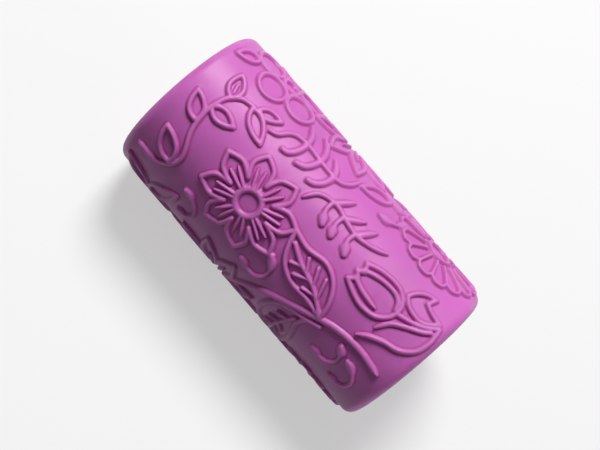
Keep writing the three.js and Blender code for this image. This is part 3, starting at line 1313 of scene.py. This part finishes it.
    def wrap_nodes(self, nodes: NodeTree, given: bpy.types.NodeOutputs) -> bpy.types.NodeSocket:
        """Add the nodes that place each flat point on the shell.

        Args:
            nodes: The tree.
            given: The tree's inputs.

        Returns:
            The point's position.
        """
        flat = nodes.add(
            "ShaderNodeSeparateXYZ", {0: nodes.add("GeometryNodeInputPosition").outputs[0]}
        ).outputs
        section = nodes.add("GeometryNodeObjectInfo", {"Object": given["Section"]}).outputs["Geometry"]
        on_section = nodes.add(
            "GeometryNodeSampleCurve", {"Curves": section, "Length": flat["X"]}, mode="LENGTH"
        ).outputs
        outward = nodes.add(
            "ShaderNodeVectorMath", {0: (0, 1, 0), 1: on_section["Tangent"]}, operation="CROSS_PRODUCT"
        ).outputs[0]
        rise = nodes.math("MULTIPLY", nodes.named("relief"), given["Line Height"])
        lifted = nodes.add(
            "ShaderNodeVectorMath", {0: outward, "Scale": rise}, operation="SCALE"
        ).outputs[0]
        raised = nodes.add(
            "ShaderNodeVectorMath", {0: on_section["Position"], 1: lifted}, operation="ADD"
        ).outputs[0]
        place = nodes.add("ShaderNodeSeparateXYZ", {0: raised}).outputs
        round_height = nodes.math("MULTIPLY", given["Tile Height"], given["Tiles Round"])
        share = nodes.math("DIVIDE", nodes.math("MULTIPLY", flat["Y"], math.tau), round_height)
        angle = nodes.math("ADD", share, given["Turn"])
        front = nodes.math("MULTIPLY", place["Z"], nodes.math("SINE", angle))
        return nodes.add("ShaderNodeCombineXYZ", {
            "X": place["X"],
            "Y": nodes.math("MULTIPLY", front, -1),
            "Z": nodes.math("MULTIPLY", place["Z"], nodes.math("COSINE", angle)),
        }).outputs[0]

    def build(self) -> bpy.types.Object:
        """Make the whole shell.

        Returns:
            A dressed plain mesh at the origin.
        """
        shell = placed("lilac_sleeve", self.flat_mesh())
        helpers = [self.strokes_object(), self.section_object()]
        values = {
            "Lines": helpers[0],
            "Section": helpers[1],
            "Line Height": self.ridge.height * MM,
            "Crown": self.ridge.crown,
            "Wall": self.ridge.wall,
            "Shade Run": self.shade_run * MM,
            "Tile Height": self.flat_height() * MM,
            "Tiles Round": self.tiles_round,
            "Turn": math.radians(self.turn_degrees),
            "Weld Distance": self.weld_distance * MM,
            "Material": self.finish.material(),
        }
        for weight in Weight:
            values[f"{weight.name.title()} Foot"] = self.ridge.foot(weight) * MM
        modifier = shell.modifiers.new("wrap_tile", "NODES")
        modifier.node_group = self.tree()
        for item in modifier.node_group.interface.items_tree:
            if item.in_out == "INPUT" and item.name in values:
                modifier[item.identifier] = values[item.name]
        ready = shell.evaluated_get(bpy.context.evaluated_depsgraph_get())
        mesh = bpy.data.meshes.new_from_object(ready)
        shell.modifiers.remove(modifier)
        shell.data = mesh
        for helper in helpers:
            bpy.data.objects.remove(helper)
        facing_out(mesh)
        return shell


@dataclass
class CoreTube:
    """The stiff tube inside the shell.

    Attributes:
        wall: Its thickness.
        edge: Rounding of its edges.
        edge_steps: How many pieces stand for a rounding.
        edge_guard: Distance of the extra points beside a rounding.
        face_length: Greatest length of its faces.
        finish: The plastic.
    """

    wall: float = 2.0
    edge: float = 0.3
    edge_steps: int = 4
    edge_guard: float = 0.1
    face_length: float = 4.0
    finish: MouldedPlastic = MouldedPlastic("pale_core", (0.72, 0.68, 0.7), 0.5)

    def build(self) -> bpy.types.Object:
        """Make the tube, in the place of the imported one.

        Returns:
            The dressed tube at the origin.
        """
        low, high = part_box("core_tube")
        outer = high.z / MM
        corners = [
            (low.x / MM, outer - self.wall, self.edge),
            (high.x / MM, outer - self.wall, self.edge),
            (high.x / MM, outer, self.edge),
            (low.x / MM, outer, self.edge),
        ]
        outline = rounded_outline(corners, self.edge_steps, self.edge_guard)
        tube = turned("inner_core", outline, self.face_length)
        tube.data.materials.append(self.finish.material())
        return tube


@dataclass
class EndHub:
    """The disc with a spigot that closes one end of the roller.

    Attributes:
        node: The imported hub's name.
        side: -1 at the left end and 1 at the right end.
        flange: Thickness of the disc.
        bore_radius: Radius of the hole for a rod.
        spigot_radius: Radius of the spigot.
        spigot_lead: Rounding of the spigot's end, which leads it in.
        shoulder: Rounding between the disc and the spigot.
        groove_radius: Radius of the shallow groove round the face.
        groove_width: Its width.
        groove_depth: Its depth.
        groove_edge: Rounding of its edges.
        edge: Rounding of the other edges.
        edge_steps: How many pieces stand for a rounding.
        edge_guard: Distance of the extra points beside a rounding.
        face_length: Greatest length of the faces.
        finish: The plastic.
    """

    node: str
    side: int
    flange: float = 2.0
    bore_radius: float = 3.25
    spigot_radius: float = 7.1
    spigot_lead: float = 0.6
    shoulder: float = 0.2
    groove_radius: float = 8.0
    groove_width: float = 0.7
    groove_depth: float = 0.35
    groove_edge: float = 0.12
    edge: float = 0.35
    edge_steps: int = 5
    edge_guard: float = 0.05
    face_length: float = 3.0
    finish: MouldedPlastic = MouldedPlastic("lilac_hub", (0.5, 0.12, 0.43), 0.45)

    def build(self) -> bpy.types.Object:
        """Make the hub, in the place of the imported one.

        Returns:
            The dressed hub at the origin.
        """
        low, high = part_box(self.node)
        face = (high.x if self.side > 0 else low.x) / MM
        spigot_end = (low.x if self.side > 0 else high.x) / MM
        outer = high.z / MM
        back = face - self.side * self.flange
        floor = face - self.side * self.groove_depth
        groove_in = self.groove_radius - self.groove_width / 2
        groove_out = self.groove_radius + self.groove_width / 2
        corners = [
            (face, self.bore_radius, self.edge),
            (face, groove_in, self.groove_edge),
            (floor, groove_in, self.groove_edge),
            (floor, groove_out, self.groove_edge),
            (face, groove_out, self.groove_edge),
            (face, outer, self.edge),
            (back, outer, self.edge),
            (back, self.spigot_radius, self.shoulder),
            (spigot_end, self.spigot_radius, self.spigot_lead),
            (spigot_end, self.bore_radius, self.edge),
        ]
        outline = rounded_outline(corners, self.edge_steps, self.edge_guard)
        hub = turned(f"{self.node}_disc", outline, self.face_length)
        hub.data.materials.append(self.finish.material())
        return hub


# Studio


@dataclass(frozen=True)
class Lamp:
    """A soft round lamp that faces the roller's centre.

    Attributes:
        name: Its name.
        place: Where it hangs, from the roller's centre.
        size: Its width.
        watts: Its power.
        glints: Whether the plastic mirrors it.
    """

    name: str
    place: Triple
    size: float
    watts: float
    glints: bool = True

    def build(self) -> None:
        """Hang the lamp."""
        light = bpy.data.lights.new(self.name, "AREA")
        light.shape = "DISK"
        light.size = self.size * MM
        light.energy = self.watts
        lamp = placed(self.name, light)
        lamp.location = Vector(self.place) * MM
        lamp.rotation_mode = "QUATERNION"
        lamp.rotation_quaternion = Vector(self.place).to_track_quat("Z", "Y")
        lamp.visible_camera = False
        lamp.visible_glossy = self.glints


@dataclass
class Studio:
    """Pale floor, soft lamps and the camera at the photograph's viewing angle.

    Attributes:
        lamps: The main lamp, and two weak ones that lighten the right end and the front.
        camera_place: Where the camera stands, from the roller's centre.
        axis_slope: How the roller's axis lies in the picture, in degrees, rising to the right.
        lens: The camera's lens.
        sensor: Width of the camera's sensor.
        near_clip: Least distance that the camera sees.
        floor_size: Width of the floor.
        floor_seen: The floor's colour to the camera.
        floor_glow: Share of the seen floor that is plain white, which lightens the shadow.
        floor_bounce: The floor's colour to the light that it throws back.
        sky: Brightness of the room.
    """

    lamps: tuple[Lamp, ...] = (
        Lamp("key_lamp", (-170.0, 243.0, 522.0), 260.0, 3.65),
        Lamp("end_lamp", (1400.0, 100.0, 150.0), 260.0, 4.3, glints=False),
        Lamp("front_lamp", (-130.0, -1400.0, 230.0), 520.0, 0.55, glints=False),
    )
    camera_place: Triple = (6.8, -84.4, 184.4)
    axis_slope: float = -49.1
    lens: float = 84.0
    sensor: float = 36.0
    near_clip: float = 10.0
    floor_size: float = 4000.0
    floor_seen: float = 0.9
    floor_glow: float = 0.5
    floor_bounce: float = 0.12
    sky: float = 0.1

    def build(self) -> None:
        """Make the camera, the floor, the lamps and the room."""
        self.camera()
        self.floor()
        for lamp in self.lamps:
            lamp.build()
        self.room()

    def camera(self) -> None:
        """Aim the camera at the roller's centre and turn it as the photograph is turned."""
        back = Vector(self.camera_place).normalized()
        axis = Vector((1, 0, 0))
        along = (axis - back * axis.dot(back)).normalized()
        across = back.cross(along)
        slope = math.radians(self.axis_slope)
        right = along * math.cos(slope) - across * math.sin(slope)
        up = along * math.sin(slope) + across * math.cos(slope)
        lens = bpy.data.cameras.new("camera")
        lens.lens = self.lens
        lens.sensor_width = self.sensor
        lens.clip_start = self.near_clip * MM
        camera = placed("camera", lens)
        turn = Matrix((right, up, back)).transposed().to_4x4()
        camera.matrix_world = Matrix.Translation(Vector(self.camera_place) * MM) @ turn
        bpy.context.scene.camera = camera

    def floor(self) -> None:
        """Lay the pale floor under the roller."""
        half = self.floor_size / 2 * MM
        mesh = bpy.data.meshes.new("floor")
        corners = [(-half, -half), (half, -half), (half, half), (-half, half)]
        mesh.from_pydata([(x, y, cad_low.z) for x, y in corners], [], [(0, 1, 2, 3)])
        floor = placed("floor", mesh)
        material = bpy.data.materials.new("pale_floor")
        nodes = shader_tree(material)
        ray = nodes.add("ShaderNodeLightPath").outputs
        seen = nodes.math("MAXIMUM", ray["Is Camera Ray"], ray["Is Glossy Ray"])
        seen = nodes.math("MAXIMUM", seen, ray["Is Transmission Ray"])
        bounce, pale = ((*[grey] * 3, 1) for grey in (self.floor_bounce, self.floor_seen))
        paper = nodes.add("ShaderNodeBsdfDiffuse", {"Color": nodes.blend(seen, bounce, pale)}).outputs[0]
        white = nodes.add("ShaderNodeEmission", {"Color": WHITE, "Strength": 1}).outputs[0]
        share = nodes.math("MULTIPLY", seen, self.floor_glow)
        mixed = nodes.add("ShaderNodeMixShader", {0: share, 1: paper, 2: white}).outputs[0]
        nodes.add("ShaderNodeOutputMaterial", {"Surface": mixed})
        mesh.materials.append(material)

    def room(self) -> None:
        """Fill the room with even light, white where it is looked at."""
        world = bpy.data.worlds.new("room")
        nodes = shader_tree(world)
        ray = nodes.add("ShaderNodeLightPath").outputs
        strength = nodes.remap(ray["Is Camera Ray"], (0, 1), (self.sky, 1))
        air = nodes.add("ShaderNodeBackground", {"Color": WHITE, "Strength": strength})
        nodes.add("ShaderNodeOutputWorld", {"Surface": air.outputs[0]})
        bpy.context.scene.world = world


def main() -> None:
    """Build the studio and the roller's pieces."""
    logging.basicConfig(level=logging.INFO, format="%(name)s: %(message)s")
    bpy.context.scene.view_settings.view_transform = "Standard"
    Studio().build()
    low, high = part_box("texture_sleeve")
    pieces = [
        (TextureSleeve(length=(high.x - low.x) / MM).build(), "texture_sleeve", "shell"),
        (CoreTube().build(), "core_tube", "core"),
        (EndHub("end_hub_left", -1).build(), "end_hub_left", "hub"),
        (EndHub("end_hub_right", 1).build(), "end_hub_right", "hub"),
    ]
    for piece, node, slot in pieces:
        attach(piece, "root")
        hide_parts(node)
        LOG.info("%s stands for %s with %d faces", piece.name, node, len(piece.data.polygons))


if __name__ == "__main__":
    main()
